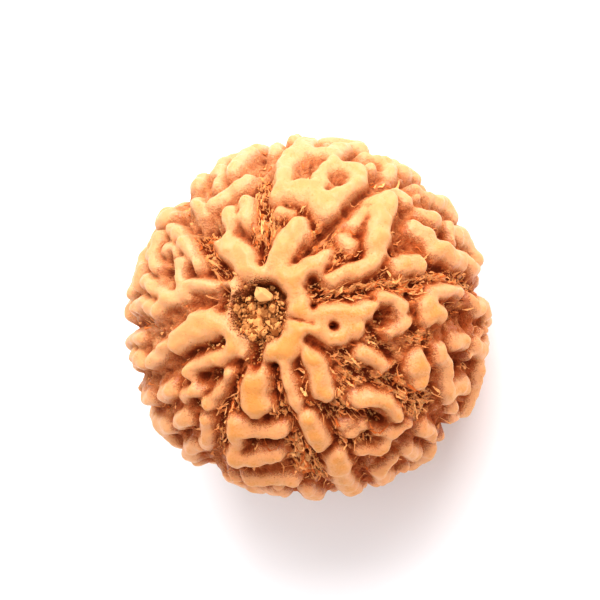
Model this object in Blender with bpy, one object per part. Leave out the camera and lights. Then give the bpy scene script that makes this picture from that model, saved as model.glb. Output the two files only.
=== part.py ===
"""A nine mukhi rudraksha, the dried stone of a fruit, as one solid.

The stone is a slightly flattened ball. Nine furrows run from its upper pole to its lower pole and part
it into nine faces. Each face is covered with rounded knobs and winding ridges, which stand out of a
rough floor, and a collar of ridges surrounds a pit at each pole. The whole surface is one formula: the
radius in every direction follows from the ridges, furrows and pits near it.

Places on the stone are (fall, bearing) in degrees. Fall is counted from the upper pole, 0, to the lower
pole, 180. Bearing is counted clockwise from +Y as seen from above. Widths and gaps across the surface
are in degrees too, of which one is about 0.2 mm. Heights are in millimetres.
"""

import math
import random

import bmesh
import bpy
import numpy as np
from mathutils import Vector, noise

MILLIMETRE = 0.001

# Driving sizes, in millimetres
CROWN_RADIUS = 12.12            # centre to the knobs' tops, at the equator
CROWN_TO_POLE = 11.00           # centre to the knobs' tops, towards the poles
CROWN_HEIGHT = 0.78             # knobs' tops above the level where their outline is read
FLOOR_DEPTH = 0.58              # floor between the knobs below that level
REST_HEIGHT = 10.50             # centre above the surface that the stone rests on
BODY_POWER = 2.3                # 2 is an ellipse, and more has fuller shoulders and flatter poles
CENTRE_SHIFT = (0.165, -0.19)   # centre of the ball from the middle of the stone's box, x and y

# Flanks and blends, in degrees across the surface
CROWN_ROUNDING = 1.5
FOOT_ROUNDING = 2.5
CROWN_FLATNESS = 2.0
FULLNESS = 1.18
BLEND_SHARPNESS = 1.7
BARE_FLOOR = -6.0
FIELD_REACH = 1.6

# Furrows, collars and pole pits
FURROW_END = 157.0
FURROW_STRIDE = 9.0
FURROW_WOBBLE = 1.6
FURROW_HALF_WIDTH = 1.25
FURROW_DEPTH = 0.10
HOLLOW_FLATNESS = 4
COLLAR_FALL = 13.6
COLLAR_HALF_WIDTH = 3.7
LOWER_COLLAR_FALL = 165.6
LOWER_COLLAR_HALF_WIDTH = 4.6
COLLAR_SHARE = 0.95
RING_STEP = 15
POLE_PITS = [(2.2, 300), (180, 0)]
POLE_PIT_RADIUS = 9.2
POLE_PIT_DEPTH = 0.25
POLE_PIT_SLOPE = 0.5
POLE_PIT_WAVE = 5.0
POLE_PIT_GRAIN = 11.0

# Petals: ridges that spread from the lower collar
PETAL_FALL = 166.0
PETAL_LENGTHS = (9.0, 19.0)
PETAL_HALF_WIDTHS = (2.7, 4.2)
PETAL_SHARES = (0.9, 1.05)
PETAL_SHIFT = 4.0
PETAL_LEAN = 12.0
NECK_LEAN = 0.33
UNFORKED = (1, 4, 7)
FORK_LENGTH = 6.0
FORK_LEAN = 1.3
FORK_SHARE = 0.8

# Unevenness of the grown surface
WARP = 0.013
WARP_GRAIN = 9.0
WARP_SHIFTS = [(0.0, 0.0, 0.0), (3.1, 1.7, 0.5), (1.1, 4.3, 2.3)]
SWELL = 0.16
SWELL_GRAIN = 3.6
CROWN_WAVE = 0.09
CROWN_GRAIN = 13.0
OUTLINE_WAVE = 0.75
OUTLINE_GRAIN = 13.0

# Ridges that are left to chance
SEED = 905
RIDGE_GAP = 1.35
STEP = 4.8
STEP_SHARES = (0.8, 1.15)
WIDTH_SHARES = (0.85, 1.25)
HEIGHT_SHARES = (0.82, 1.08)
WANDER = 48.0
TURN_ASIDE = 48.0
FIRST_FALL = 44.0
LAST_FALL = 158.0
LEAST_AROUND = 0.2
SPACING = 2.4
# The ridges inside this cap are all known, so none is left to chance there
KNOWN_MIDDLE = (16, 99)
KNOWN_REACH = 64.0
# Steps, half width, tries and the share of them that branch off a ridge, for each round of growth
GROWTH = [
    (3, 3.2, 1500, 0.3),
    (2, 3.4, 3000, 0.5),
    (1, 3.5, 5000, 0.6),
    (1, 2.7, 6000, 0.5),
    (0, 2.6, 5000, 0.0),
    (1, 1.9, 4000, 0.5),
    (0, 1.7, 3000, 0.0),
]

# Mesh
SPHERE_LEVELS = 7
TRIANGLES = 11600

FURROWS = [
    [(19, 356), (26, 358), (33, 355), (40, 354), (47, 358), (55, 355), (63, 351), (70, 349)],
    [(27, 33), (33, 34), (40, 37), (47, 37), (54, 35.5), (62, 35.5), (70, 38)],
    [(19, 79), (28, 77), (40, 76), (52, 78), (65, 77), (80, 79), (95, 78)],
    [(19, 120), (30, 122), (40, 121), (52, 122), (64, 122), (76, 124.5), (84, 127.5), (92, 129)],
    [(19, 171), (28, 172), (38, 168), (50, 167.5), (60, 169), (75, 170), (88, 171)],
    [(19, 203), (28, 206), (38, 207), (45, 206), (53, 204), (60, 207), (68, 209), (75, 211)],
    [(19, 238), (28, 244), (36, 244), (43, 243), (50, 244), (58, 246), (68, 250)],
    [(31, 269), (36, 265), (42, 264), (50, 267), (60, 268)],
    [(19, 315), (25, 315), (36, 317), (46, 315), (56, 317)],
]

# Each ridge is its corners, its half width and its share of the full height
FACE_1 = [
    ([(13, 12), (20, 16), (26, 19), (31, 20)], 4.0, 1.0),
    ([(36.5, 6), (37, 11)], 1.8, 0.5),
    ([(44, 3), (52, 2.5), (62, 2), (72, 3), (82, 1)], 3.4, 1.0),
    ([(44, 3), (45, 12), (45, 20), (42, 29)], 3.9, 1.0),
    ([(45, 19), (55, 18), (63, 18.5)], 3.0, 1.0),
    ([(45, 28), (52, 30), (60, 30.5), (63, 27)], 3.4, 0.95),
    ([(63, 19), (64, 27)], 3.1, 0.9),
    ([(68, 5), (68, 14), (78, 15)], 2.9, 1.0),
    ([(76, 24), (82, 29)], 2.9, 1.0),
    ([(56, 24), (56, 24.5)], 0.8, 0.35),
    ([(84, 356), (93, 357)], 2.3, 1.5),
]
FACE_2 = [
    ([(13, 35), (18, 42), (22, 48)], 3.9, 1.0),
    ([(25, 49), (30, 46)], 2.3, 0.95),
    ([(38, 50.5), (38, 46.5)], 2.3, 0.6),
    ([(46, 58), (50, 51), (55, 45), (60, 43)], 4.0, 1.15),
    ([(27, 64), (33, 65), (40, 64.5), (45, 60)], 2.7, 1.0),
    ([(44, 42), (50, 41), (56, 41)], 2.4, 0.3),
    ([(50, 68.5), (56, 70.5)], 3.2, 1.05),
    ([(62, 57), (66, 62)], 2.7, 1.0),
    ([(66, 66), (73, 69), (80, 71)], 3.5, 1.05),
    ([(69, 39), (69, 46)], 2.7, 1.0),
    ([(70, 53), (78, 56)], 2.9, 1.0),
    ([(80, 40), (84, 46), (91, 48)], 2.7, 1.0),
    ([(85, 59), (92, 62)], 2.8, 1.0),
]
FACE_3 = [
    ([(13, 88), (22, 90), (30, 90), (37, 89)], 3.2, 1.0),
    ([(15, 107), (22, 108), (27, 106.5)], 3.4, 0.9),
    ([(20, 98), (24, 98)], 2.4, 0.9),
    ([(28.5, 99.5), (33, 99)], 3.4, 0.85),
    ([(36, 112), (41, 113), (45, 114.5)], 2.5, 1.0),
    ([(41, 82), (45, 83), (48, 87), (49, 92), (47, 97), (43, 99)], 2.2, 0.95),
    ([(57, 92), (57.5, 86), (60, 82), (68, 81), (73, 82)], 2.8, 1.05),
    ([(57, 88), (63, 90)], 2.7, 0.95),
    ([(55.5, 108), (59.5, 114)], 3.5, 1.05),
    ([(64, 103), (69, 107), (72, 112), (78, 117)], 2.9, 1.0),
    ([(70, 99), (78, 99)], 2.6, 0.95),
    ([(86, 87), (93, 86), (100, 88)], 2.9, 1.0),
    ([(87, 99), (95, 101)], 2.8, 1.0),
    ([(97, 107), (101, 112), (104, 121)], 3.4, 1.05),
]
FACE_4 = [
    ([(13, 112), (14, 128), (14, 145)], 5.0, 1.0),
    ([(22, 131), (28, 136), (34, 143)], 3.5, 1.0),
    ([(14, 150), (20, 157), (28, 160.5), (34, 162)], 2.5, 0.95),
    ([(43.5, 134), (46.5, 130), (51, 128), (57, 129), (60, 130.5)], 2.7, 1.05),
    ([(59, 139), (64, 136), (66, 132)], 2.1, 0.9),
    ([(40, 160.5), (49, 160.5)], 3.7, 1.1),
    ([(52.5, 148), (52.5, 141)], 1.5, 0.6),
    ([(49, 146), (48.5, 148)], 1.5, 0.35),
    ([(61, 150), (65, 145), (65, 140)], 2.1, 0.9),
    ([(74, 130), (83, 131)], 3.0, 1.0),
    ([(77, 139), (88, 141)], 2.9, 1.0),
    ([(58, 158), (65, 161), (72, 162), (84, 164)], 3.5, 1.1),
    ([(76, 151), (84, 153)], 2.7, 1.0),
]
FACE_5 = [
    ([(22, 190), (28, 188), (31, 187)], 5.0, 1.1),
    ([(41.5, 173), (42, 180), (42, 190), (41, 199)], 3.0, 1.0),
    ([(42, 200), (50, 199), (58, 200)], 2.8, 1.0),
    ([(50.5, 180), (53.5, 189), (57, 198)], 2.9, 1.0),
    ([(64, 178), (64.5, 186), (67, 194), (71, 201)], 2.9, 1.0),
    ([(73, 176), (82, 176)], 2.8, 1.0),
    ([(78, 187), (82, 195), (86, 203)], 3.0, 1.0),
]
FACE_6 = [
    ([(13, 217), (22, 228), (28, 232), (35, 235)], 2.9, 1.0),
    ([(25, 211.5), (31, 213), (38, 215.5)], 2.5, 0.95),
    ([(37, 225), (43, 229)], 2.4, 0.95),
    ([(45, 214), (50, 212), (56, 212)], 2.7, 1.0),
    ([(50, 223), (55, 225)], 3.0, 1.0),
    ([(46, 236), (53, 237)], 2.8, 1.0),
    ([(62, 216), (68, 219), (75, 219)], 2.8, 1.0),
    ([(65, 229), (72, 233), (78, 235)], 3.1, 1.05),
    ([(62, 240), (70, 243)], 2.6, 1.0),
    ([(84, 218), (91, 222)], 2.8, 1.0),
]
FACE_7 = [
    ([(13, 262), (22, 260), (29, 257), (33, 254)], 5.0, 1.0),
    ([(40, 254), (45, 252), (51, 251)], 2.6, 1.0),
    ([(58, 254), (66, 257)], 2.8, 1.0),
    ([(56, 262), (63, 263), (70, 264)], 2.5, 1.0),
    ([(22, 248), (28, 250)], 2.4, 0.9),
]
FACE_8 = [
    ([(15, 304), (21, 298), (26, 293), (30, 290)], 2.4, 1.0),
    ([(31, 283), (38, 279), (44, 273), (50, 275), (58, 275)], 2.7, 1.0),
    ([(38, 280), (46, 283), (54, 285)], 2.4, 1.0),
    ([(34, 287), (35, 293), (38, 300)], 2.3, 0.9),
    ([(31, 305), (38, 308), (46, 309.5), (54, 308)], 2.5, 1.0),
    ([(43, 302), (50, 301)], 2.0, 0.8),
    ([(55, 294), (58, 302)], 2.6, 1.0),
    ([(62, 283), (68, 288)], 2.8, 1.0),
    ([(64, 309), (70, 308)], 3.0, 1.05),
]
FACE_9 = [
    ([(14, 345), (20, 339), (25, 333), (29, 328)], 4.2, 1.0),
    ([(33, 347.5), (41, 347)], 2.7, 1.0),
    ([(34, 335), (39, 337)], 2.8, 0.9),
    ([(46, 324), (53, 323)], 2.6, 1.0),
    ([(47, 331), (48.5, 340), (51, 347)], 2.6, 1.0),
    ([(60, 340), (67, 342), (76, 343)], 2.9, 1.0),
    ([(66, 324), (72, 325)], 3.1, 1.05),
    ([(76, 332), (84, 334)], 2.8, 1.0),
    ([(56, 333), (62, 332)], 2.3, 0.9),
]
FACES = [FACE_1, FACE_2, FACE_3, FACE_4, FACE_5, FACE_6, FACE_7, FACE_8, FACE_9]

# Each hollow is its corners, its radius and its depth below the floor or the top around it. A radius
# below 0 makes a notch that doesn't reach the floor.
HOLLOWS = [
    ([(56, 9), (59, 9.5)], 2.2, 0.10),
    ([(55.5, 24)], 2.2, 0.12),
    ([(49.5, 63)], 1.6, 0.30),
    ([(25.5, 100.5)], 1.2, 0.45),
    ([(11, 100), (18, 102)], -0.35, 0.0),
    ([(41, 92), (41, 94)], 2.5, 0.35),
    ([(70, 87), (82, 92)], 3.0, 0.40),
    ([(75, 104.5), (82, 107)], 2.4, 0.35),
    ([(38, 99), (43, 105), (47, 109)], 1.7, 0.30),
    ([(54, 137), (58, 136)], 1.9, 0.40),
    ([(68, 138), (70, 135)], 2.1, 0.45),
    ([(69, 153.5)], 2.2, 0.35),
    ([(44, 171), (46.5, 177), (47, 185), (48, 192)], 1.1, 0.40),
    ([(65, 204), (73, 195)], 1.6, 0.30),
    ([(28.5, 221), (33, 226)], 2.3, 0.35),
    ([(72, 244)], 2.2, 0.30),
    ([(43, 222)], 1.7, 0.30),
    ([(44, 291)], 2.6, 0.40),
    ([(46, 298)], 1.6, 0.25),
    ([(33, 298)], 2.0, 0.30),
    ([(44, 316)], 1.4, 0.25),
    ([(34, 327), (40, 322)], 1.8, 0.35),
    ([(10, 190), (18, 192)], 2.3, 0.45),
    ([(16, 281), (16, 297)], 2.0, 0.40),
    ([(21, 58), (21, 72)], 1.9, 0.40),
    ([(62, 330)], 2.0, 0.30),
    ([(9.0, 318), (10.0, 350), (10.0, 20), (9.5, 52)], 1.1, 0.50),
]

# Broad swells of the whole body: middle, radius and height
BODY_SWELLS = [
    ((82, 236), 24.0, 0.38),
    ((88, 272), 20.0, 0.22),
    ((88, 2), 22.0, 0.12),
    ((86, 66), 22.0, -0.18),
    ((88, 320), 16.0, -0.10),
]


def direction(fall, bearing):
    """Unit vector from the stone's centre to a place on it."""
    down, turn = math.radians(fall), math.radians(bearing)
    return np.array([math.sin(down) * math.sin(turn), math.sin(down) * math.cos(turn), math.cos(down)])


def degrees_from(points, path):
    """Degrees from each unit vector in points to the nearest spot on a path."""
    corners = [direction(*corner) for corner in path]
    nearest = np.full(len(points), np.inf)
    for start, end in zip(corners, corners[1:] or corners):
        run = end - start
        share = np.clip((points - start) @ run / max(run @ run, 1e-12), 0.0, 1.0)
        offset = points - start - share[:, None] * run
        nearest = np.minimum(nearest, np.linalg.norm(offset, axis=1))
    return np.degrees(nearest)


def finish_furrow(path, draw):
    """Carry a furrow on from its last corner, with a slight wobble, to the lower pole."""
    fall, bearing = path[-1]
    whole = list(path)
    while fall < FURROW_END:
        fall += FURROW_STRIDE
        bearing += draw.uniform(-FURROW_WOBBLE, FURROW_WOBBLE)
        whole.append((fall, bearing))
    return whole


def lower_petals(furrows, draw):
    """The ridges that spread from the lower collar: one stem on every face, forked on some."""
    petals = []
    ends = sorted(path[-1][1] % 360 for path in furrows)
    for place, (left, right) in enumerate(zip(ends, ends[1:] + [ends[0] + 360])):
        middle = (left + right) / 2 + draw.uniform(-PETAL_SHIFT, PETAL_SHIFT)
        length = draw.uniform(*PETAL_LENGTHS)
        lean = draw.uniform(-PETAL_LEAN, PETAL_LEAN)
        width = draw.uniform(*PETAL_HALF_WIDTHS)
        neck = (PETAL_FALL - length / 2, middle + NECK_LEAN * lean)
        stem = [(PETAL_FALL, middle), neck, (PETAL_FALL - length, middle + lean)]
        petals.append((stem, width, draw.uniform(*PETAL_SHARES)))
        if place not in UNFORKED:
            fork = [neck, (neck[0] - FORK_LENGTH, middle - FORK_LEAN * lean)]
            petals.append((fork, FORK_SHARE * width, COLLAR_SHARE))
    return petals


def spread_points(path):
    """Points along a path, close together, as unit vectors. The path's last corner is the last of them."""
    corners = [direction(*corner) for corner in path]
    points = [corners[0]]
    for start, end in zip(corners, corners[1:]):
        count = math.ceil(math.degrees(np.linalg.norm(end - start)) / SPACING)
        points += [start + (end - start) * (place + 1) / count for place in range(count)]
    return np.array(points)


def wander(draw, start, steps):
    """A path of some steps across the surface that mostly runs along the faces."""
    fall, bearing = start
    heading = draw.choice((0, 180)) + draw.gauss(0, TURN_ASIDE)
    path = [start]
    for _ in range(steps):
        stride = STEP * draw.uniform(*STEP_SHARES)
        fall += stride * math.cos(math.radians(heading))
        around = max(math.sin(math.radians(fall)), LEAST_AROUND)
        bearing += stride * math.sin(math.radians(heading)) / around
        heading += draw.uniform(-WANDER, WANDER)
        path.append((fall, bearing))
    return path


def any_place(draw):
    """A place in the belt that is left to chance."""
    highest, lowest = math.cos(math.radians(FIRST_FALL)), math.cos(math.radians(LAST_FALL))
    return math.degrees(math.acos(draw.uniform(lowest, highest))), draw.uniform(0, 360)


def gather(paths, widths):
    """Points along all the paths, with the number and the half width of the path of each."""
    spread = [spread_points(path) for path in paths]
    counts = [len(points) for points in spread]
    return np.concatenate(spread), np.repeat(np.arange(len(paths)), counts), np.repeat(widths, counts)


def grow_ridges(ridges, furrows, draw):
    """Fill what is still bare, long ridges first and dots last. A branch starts on a ridge that is there."""
    grown = list(ridges)
    spots, owner, reach = gather([path for path, _, _ in ridges], [width for _, width, _ in ridges])
    furrow_spots, _, _ = gather(furrows, [0] * len(furrows))
    known = direction(*KNOWN_MIDDLE)
    for steps, half_width, tries, branching in GROWTH:
        for _ in range(tries):
            parent = draw.randrange(len(grown)) if draw.random() < branching else None
            start = any_place(draw) if parent is None else draw.choice(grown[parent][0])
            path = wander(draw, start, steps)
            width = half_width * draw.uniform(*WIDTH_SHARES)
            height = draw.uniform(*HEIGHT_SHARES)
            new = path if parent is None else path[1:]
            if not all(FIRST_FALL < fall < LAST_FALL for fall, _ in new):
                continue
            points = spread_points(new)
            if (points @ known).max() > math.cos(math.radians(KNOWN_REACH)):
                continue
            gaps = np.degrees(np.linalg.norm(points[:, None, :] - spots[None, :, :], axis=2)) - reach
            others = owner != (-1 if parent is None else parent)
            if gaps[:, others].min() < width + RIDGE_GAP or gaps[-1].min() < width:
                continue
            aside = np.degrees(np.linalg.norm(points[:, None, :] - furrow_spots[None, :, :], axis=2))
            if aside.min() < width + FURROW_HALF_WIDTH:
                continue
            spots = np.concatenate([spots, points])
            owner = np.concatenate([owner, np.full(len(points), len(grown))])
            reach = np.concatenate([reach, np.full(len(points), width)])
            grown.append((path, width, height))
    return grown


def ring(fall):
    """A closed path round the axis at one fall."""
    return [(fall, bearing) for bearing in range(0, 361, RING_STEP)]


def lay_out():
    """All furrows and all ridges of the stone."""
    draw = random.Random(SEED)
    furrows = [finish_furrow(path, draw) for path in FURROWS]
    ridges = [ridge for face in FACES for ridge in face]
    ridges.append((ring(COLLAR_FALL), COLLAR_HALF_WIDTH, COLLAR_SHARE))
    ridges.append((ring(LOWER_COLLAR_FALL), LOWER_COLLAR_HALF_WIDTH, COLLAR_SHARE))
    ridges += lower_petals(furrows, draw)
    return furrows, grow_ridges(ridges, furrows, draw)


def uneven(points, grain):
    """Smooth noise, one value for each point."""
    return np.array([noise.noise(Vector(point) * grain) for point in points])


def warped(points):
    """The points moved a little sideways, so that no outline is a plain arc."""
    moved = [uneven(points + shift, WARP_GRAIN) for shift in WARP_SHIFTS]
    return points + WARP * np.stack(moved, axis=1)


def near_to(points, path, reach):
    """Which of the points lie within reach degrees of the cap that holds the whole path."""
    corners = np.array([direction(*corner) for corner in path])
    middle = corners.mean(axis=0)
    middle /= max(np.linalg.norm(middle), 1e-9)
    span = math.degrees(math.acos(max(-1.0, min(1.0, (corners @ middle).min())))) + reach
    return points @ middle >= (math.cos(math.radians(span)) if span < 180 else -2.0)


def ridge_field(points, ridges):
    """How far each point lies inside the ridges' outline, in degrees, and the height there."""
    weight = np.full(len(points), math.exp(BLEND_SHARPNESS * BARE_FLOOR))
    height = weight.copy()
    for path, half_width, share in ridges:
        reach = FULLNESS * half_width
        near = near_to(points, path, reach - FIELD_REACH * BARE_FLOOR)
        away = degrees_from(points[near], path) / reach
        bowed = (1 - np.minimum(away, 1) ** CROWN_FLATNESS) / CROWN_FLATNESS
        inside = reach * np.where(away < 1, bowed, 1 - away)
        pull = np.exp(BLEND_SHARPNESS * inside)
        weight[near] += pull
        height[near] += pull * share
    return np.log(weight) / BLEND_SHARPNESS, height / weight


def carve(inside, edge):
    """The field cut by something whose edge lies that many degrees away, with a rounded lip."""
    return -np.log(np.exp(-BLEND_SHARPNESS * inside) + np.exp(-BLEND_SHARPNESS * edge)) / BLEND_SHARPNESS


def relief(points, furrows, ridges):
    """Height above the knobs' outline level, in millimetres, and the ridge field, for each unit vector."""
    bent = warped(points)
    inside, share = ridge_field(bent, ridges)
    inside = inside + OUTLINE_WAVE * uneven(points, OUTLINE_GRAIN)
    sunk = np.zeros(len(points))
    for path in furrows:
        away = degrees_from(bent, path)
        inside = carve(inside, away - FURROW_HALF_WIDTH)
        sunk += FURROW_DEPTH * np.exp(-(away / FURROW_HALF_WIDTH) ** 2)
    for path, radius, depth in HOLLOWS:
        away = degrees_from(bent, path)
        inside = carve(inside, away - radius)
        if depth:
            sunk += depth * np.exp(-(away / radius) ** HOLLOW_FLATNESS)
    rim = POLE_PIT_WAVE * uneven(points, POLE_PIT_GRAIN)
    for pole in POLE_PITS:
        away = degrees_from(bent, [pole]) + rim
        inside = carve(inside, POLE_PIT_SLOPE * (away - POLE_PIT_RADIUS))
        sunk += POLE_PIT_DEPTH * np.exp(-(away / POLE_PIT_RADIUS) ** HOLLOW_FLATNESS)
    crown = CROWN_HEIGHT * share * (1 - np.exp(-np.maximum(inside, 0) / CROWN_ROUNDING))
    floor = FLOOR_DEPTH * (1 - np.exp(np.minimum(inside, 0) / FOOT_ROUNDING))
    wave = CROWN_WAVE * uneven(points, CROWN_GRAIN)
    return crown - floor - sunk + wave, inside


def body_radius(points):
    """Radius of the smooth body at the knobs' outline level, in millimetres, for each unit vector."""
    across, along = CROWN_RADIUS - CROWN_HEIGHT, CROWN_TO_POLE - CROWN_HEIGHT
    level = np.hypot(points[:, 0], points[:, 1])
    radius = ((level / across) ** BODY_POWER + (abs(points[:, 2]) / along) ** BODY_POWER) ** (-1 / BODY_POWER)
    for middle, reach, height in BODY_SWELLS:
        away = degrees_from(points, [middle])
        radius += height * np.exp(-(away / reach) ** 2)
    return radius + SWELL * uneven(points, SWELL_GRAIN)


def stone_points(points):
    """Places on the stone's surface, in metres, for unit vectors from its centre."""
    furrows, ridges = lay_out()
    height, _ = relief(points, furrows, ridges)
    places = points * (body_radius(points) + height)[:, None]
    places += np.array([CENTRE_SHIFT[0], CENTRE_SHIFT[1], REST_HEIGHT])
    return places * MILLIMETRE


def flatten_rest(mesh):
    """Press the lowest crowns flat on the surface that the stone rests on."""
    for vertex in mesh.vertices:
        vertex.co.z = max(vertex.co.z, 0.0)


def stone_material():
    """Dry, polished brown stone."""
    material = bpy.data.materials.new("stone_brown")
    material.use_nodes = True
    shader = material.node_tree.nodes["Principled BSDF"]
    shader.inputs["Base Color"].default_value = (0.62, 0.32, 0.12, 1.0)
    shader.inputs["Roughness"].default_value = 0.45
    shader.inputs["Metallic"].default_value = 0.0
    return material


def make_stone():
    """The stone: a fine ball shaped by the formula, then thinned where it is nearly flat."""
    shape = bmesh.new()
    bmesh.ops.create_icosphere(shape, subdivisions=SPHERE_LEVELS, radius=1.0)
    points = np.array([vertex.co.normalized() for vertex in shape.verts])
    for vertex, place in zip(shape.verts, stone_points(points)):
        vertex.co = place
    fine = bpy.data.meshes.new("fine_stone")
    shape.to_mesh(fine)
    faces = len(shape.faces)
    shape.free()

    draft = bpy.data.objects.new("draft_stone", fine)
    bpy.context.scene.collection.objects.link(draft)
    thin = draft.modifiers.new("thin", "DECIMATE")
    thin.ratio = TRIANGLES / faces
    evaluated = draft.evaluated_get(bpy.context.evaluated_depsgraph_get())
    mesh = bpy.data.meshes.new_from_object(evaluated)
    bpy.data.objects.remove(draft)
    flatten_rest(mesh)

    mesh.name = "rudraksha_stone"
    mesh.materials.append(stone_material())
    mesh.shade_smooth()
    stone = bpy.data.objects.new("rudraksha_stone", mesh)
    bpy.context.scene.collection.objects.link(stone)
    return stone


def main():
    """Clear the scene and make the stone."""
    for thing in list(bpy.data.objects):
        bpy.data.objects.remove(thing)
    make_stone()


main()
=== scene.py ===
"""Looks of a nine mukhi rudraksha: its knobbed surface, the fibres and crumbs on it, and a plain stage.

The stone's form is one formula, the same as the solid's: the radius in every direction follows from the
ridges, furrows and hollows near it. Here it is read on a much finer ball, and the fine relief of the
floor between the knobs and of their tops is added to it.

Places on the stone are (fall, bearing) in degrees. Fall is counted from the upper pole, 0, to the lower
pole, 180. Bearing is counted clockwise from +Y as seen from above. Widths and gaps across the surface
are in degrees too, of which one is about 0.2 mm. Heights are in millimetres.
"""

import math
import random

import bmesh
import bpy
import numpy as np
from bpy.props import FloatProperty, FloatVectorProperty, IntProperty, PointerProperty
from bpy.types import Operator, Panel, PropertyGroup
from mathutils import Matrix, Vector, noise


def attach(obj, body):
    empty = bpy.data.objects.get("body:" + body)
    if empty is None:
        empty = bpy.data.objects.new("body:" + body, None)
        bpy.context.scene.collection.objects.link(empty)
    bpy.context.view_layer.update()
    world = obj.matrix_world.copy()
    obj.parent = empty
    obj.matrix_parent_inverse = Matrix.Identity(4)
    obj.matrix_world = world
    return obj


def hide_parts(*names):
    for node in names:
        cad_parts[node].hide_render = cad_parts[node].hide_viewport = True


bl_info = {
    "name": "Nine Mukhi Rudraksha",
    "version": (1, 0, 0),
    "blender": (4, 5, 0),
    "location": "View3D > Sidebar > Rudraksha",
    "description": "Builds the surface, fibres and crumbs of a rudraksha stone round its solid",
    "category": "Object",
}

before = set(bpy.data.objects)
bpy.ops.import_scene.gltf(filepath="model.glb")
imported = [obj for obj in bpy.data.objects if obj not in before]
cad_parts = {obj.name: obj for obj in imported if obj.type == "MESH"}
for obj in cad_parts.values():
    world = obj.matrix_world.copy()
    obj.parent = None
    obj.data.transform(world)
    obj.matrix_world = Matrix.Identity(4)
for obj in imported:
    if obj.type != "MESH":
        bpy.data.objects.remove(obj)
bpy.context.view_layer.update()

MILLIMETRE = 0.001
NODE = "rudraksha_stone"
BODY = "root"

# Driving sizes, in millimetres
CROWN_RADIUS = 12.12            # centre to the knobs' tops, at the equator
CROWN_TO_POLE = 11.00           # centre to the knobs' tops, towards the poles
CROWN_HEIGHT = 0.78             # knobs' tops above the level where their outline is read
FLOOR_DEPTH = 0.58              # floor between the knobs below that level
REST_HEIGHT = 10.50             # centre above the surface that the stone rests on
BODY_POWER = 2.3                # 2 is an ellipse, and more has fuller shoulders and flatter poles
CENTRE_SHIFT = (0.165, -0.19)   # centre of the ball from the middle of the stone's box, x and y

# Flanks and blends, in degrees across the surface
CROWN_ROUNDING = 1.5
FOOT_ROUNDING = 2.5
CROWN_FLATNESS = 2.0
FULLNESS = 1.18
BLEND_SHARPNESS = 1.7
BARE_FLOOR = -6.0
FIELD_REACH = 1.6

# Furrows, collars and pole pits
FURROW_END = 157.0
FURROW_STRIDE = 9.0
FURROW_WOBBLE = 1.6
FURROW_HALF_WIDTH = 1.25
FURROW_DEPTH = 0.10
HOLLOW_FLATNESS = 4
COLLAR_FALL = 13.6
COLLAR_HALF_WIDTH = 3.7
LOWER_COLLAR_FALL = 165.6
LOWER_COLLAR_HALF_WIDTH = 4.6
COLLAR_SHARE = 0.95
RING_STEP = 15
POLE_PITS = [(2.2, 300), (180, 0)]
POLE_PIT_RADIUS = 9.2
POLE_PIT_DEPTH = 0.25
POLE_PIT_SLOPE = 0.5
POLE_PIT_WAVE = 5.0
POLE_PIT_GRAIN = 11.0

# Petals: ridges that spread from the lower collar
PETAL_FALL = 166.0
PETAL_LENGTHS = (9.0, 19.0)
PETAL_HALF_WIDTHS = (2.7, 4.2)
PETAL_SHARES = (0.9, 1.05)
PETAL_SHIFT = 4.0
PETAL_LEAN = 12.0
NECK_LEAN = 0.33
UNFORKED = (1, 4, 7)
FORK_LENGTH = 6.0
FORK_LEAN = 1.3
FORK_SHARE = 0.8

# Unevenness of the grown surface
WARP = 0.013
WARP_GRAIN = 9.0
WARP_SHIFTS = [(0.0, 0.0, 0.0), (3.1, 1.7, 0.5), (1.1, 4.3, 2.3)]
SWELL = 0.16
SWELL_GRAIN = 3.6
CROWN_WAVE = 0.09
CROWN_GRAIN = 13.0
OUTLINE_WAVE = 0.75
OUTLINE_GRAIN = 13.0

# Ridges that are left to chance
SEED = 905
RIDGE_GAP = 1.35
STEP = 4.8
STEP_SHARES = (0.8, 1.15)
WIDTH_SHARES = (0.85, 1.25)
HEIGHT_SHARES = (0.82, 1.08)
WANDER = 48.0
TURN_ASIDE = 48.0
FIRST_FALL = 44.0
LAST_FALL = 158.0
LEAST_AROUND = 0.2
SPACING = 2.4
# The ridges inside this cap are all known, so none is left to chance there
KNOWN_MIDDLE = (16, 99)
KNOWN_REACH = 64.0
# Steps, half width, tries and the share of them that branch off a ridge, for each round of growth
GROWTH = [
    (3, 3.2, 1500, 0.3),
    (2, 3.4, 3000, 0.5),
    (1, 3.5, 5000, 0.6),
    (1, 2.7, 6000, 0.5),
    (0, 2.6, 5000, 0.0),
    (1, 1.9, 4000, 0.5),
    (0, 1.7, 3000, 0.0),
]


FURROWS = [
    [(19, 356), (26, 358), (33, 355), (40, 354), (47, 358), (55, 355), (63, 351), (70, 349)],
    [(27, 33), (33, 34), (40, 37), (47, 37), (54, 35.5), (62, 35.5), (70, 38)],
    [(19, 79), (28, 77), (40, 76), (52, 78), (65, 77), (80, 79), (95, 78)],
    [(19, 120), (30, 122), (40, 121), (52, 122), (64, 122), (76, 124.5), (84, 127.5), (92, 129)],
    [(19, 171), (28, 172), (38, 168), (50, 167.5), (60, 169), (75, 170), (88, 171)],
    [(19, 203), (28, 206), (38, 207), (45, 206), (53, 204), (60, 207), (68, 209), (75, 211)],
    [(19, 238), (28, 244), (36, 244), (43, 243), (50, 244), (58, 246), (68, 250)],
    [(31, 269), (36, 265), (42, 264), (50, 267), (60, 268)],
    [(19, 315), (25, 315), (36, 317), (46, 315), (56, 317)],
]

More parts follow.
